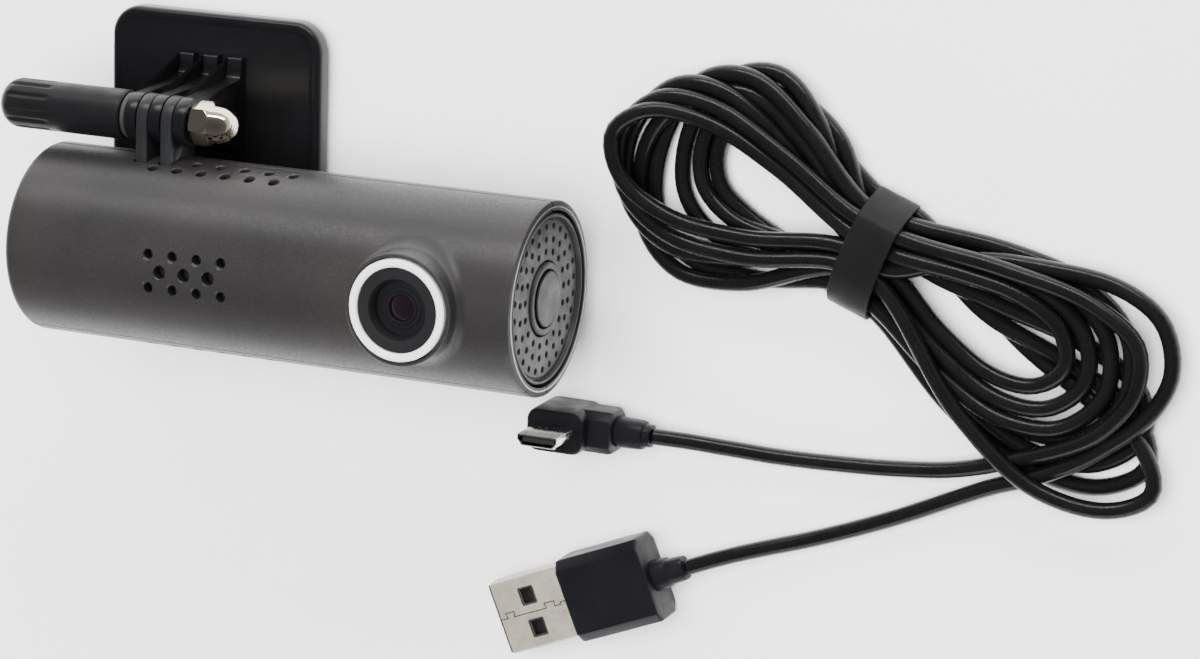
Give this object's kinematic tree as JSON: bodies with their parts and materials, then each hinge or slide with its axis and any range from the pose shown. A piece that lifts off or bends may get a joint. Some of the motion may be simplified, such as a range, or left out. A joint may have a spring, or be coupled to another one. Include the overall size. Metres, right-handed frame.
{
  "type": "dash camera",
  "caption": "Tube-shaped dash camera hinged on a stick-on windscreen bracket, with a clamp knob and its bundled USB power cable lying beside it.",
  "frame": {"origin": "centre of the bracket's adhesive face, which lies on the surface", "axes": "+X along the camera's tube towards its button end, +Y towards the bracket plate's free edge, +Z the way the lens looks, away from the adhesive face"},
  "size_m": [0.193, 0.0996, 0.039],
  "materials": {
    "shell": "satin, dark gun-metal grey with a fine grain",
    "light_ring": "satin dark grey, lit from behind",
    "bracket_plastic": "satin black moulded",
    "adhesive_foam": "matte foam tape",
    "nut_chrome": "polished nickel chrome",
    "screw_steel": "plain",
    "washer": "matte",
    "foot_plastic": "satin dark grey moulded",
    "lens_trim": "satin silver",
    "lens_black": "satin black",
    "lens_glass": "polished, coated",
    "circuit_board": "green solder mask",
    "chip": "matte black epoxy",
    "tinned_metal": "tinned",
    "heatsink": "anodised",
    "battery_wrap": "foil wrap",
    "flex": "polyimide",
    "cord": "satin black sheath",
    "tie": "matte black strap",
    "plug_black": "matte black overmould",
    "plug_metal": "nickel-plated"
  },
  "bodies": {
    "bracket": {"bracket": "bracket_plastic", "adhesive_pad": "adhesive_foam", "acorn_nut": "nut_chrome"},
    "camera": {"front_shell": "shell", "rear_shell": "shell", "left_end_cap": "shell", "right_end_cap": "shell", "light_ring": "light_ring", "lens_trim_ring": "lens_trim", "lens_face_ring": "lens_black", "lens_barrel": "lens_black", "front_lens": "lens_glass", "rear_lens": "lens_glass", "ir_filter": "lens_glass", "lens_mount": "lens_black", "sensor_board": "circuit_board", "image_sensor": "chip", "main_board": "circuit_board", "processor": "chip", "heatsink": "heatsink", "wifi_module": "tinned_metal", "memory_chip": "chip", "microphone": "tinned_metal", "battery": "battery_wrap", "speaker": "chip", "button_board": "circuit_board", "tact_switch": "chip", "flex_cable": "flex", "usb_socket": "tinned_metal", "card_socket": "tinned_metal", "inner_frame": "chip", "hinge_foot": "foot_plastic", "foot_screw_left": "screw_steel", "foot_screw_right": "screw_steel"},
    "washer": {"knob_washer": "washer"},
    "knob": {"knob_grip": "bracket_plastic", "clamp_screw": "screw_steel"},
    "button": {"action_button": "shell"},
    "memory_card": {"memory_card": "chip"},
    "power_cable": {"cable_hank": "cord", "cable_tie": "tie", "micro_lead": "cord", "usb_lead": "cord", "usb_plug_body": "plug_black", "usb_strain_relief": "plug_black", "usb_shell": "plug_metal", "usb_tongue": "plug_black", "micro_plug_body": "plug_black", "micro_strain_relief": "plug_black", "micro_plug_shell": "plug_metal", "micro_plug_tongue": "plug_black"}
  },
  "joints": [
    {"name": "camera_tilt", "type": "hinge", "parent": "bracket", "child": "camera", "pos_m": [0.0001, 0.0044, 0.02], "axis": [-1, 0, 0], "range_deg": [0, 180]},
    {"name": "knob_travel", "type": "slide", "parent": "bracket", "child": "washer", "axis": [-1, 0, 0], "range_m": [0, 0.0021]},
    {"name": "knob_turn", "type": "hinge", "parent": "washer", "child": "knob", "pos_m": [0.0001, 0.0044, 0.02], "axis": [-1, 0, 0], "range_deg": [0, 1080]},
    {"name": "button_press", "type": "slide", "parent": "camera", "child": "button", "axis": [-1, 0, 0], "range_m": [0, 0.0004], "stiffness_N_per_m": 800},
    {"name": "card_eject", "type": "slide", "parent": "camera", "child": "memory_card", "axis": [0, 0, -1], "range_m": [0, 0.004]},
    {"name": "cable_slide", "type": "slide", "parent": "bracket", "child": "power_cable", "axis": [1, 0, 0], "range_m": [0, 0.05]}
  ],
  "couplings": [
    {"joint": "knob_turn", "follows": "knob_travel", "rad_per_m": 8976}
  ]
}
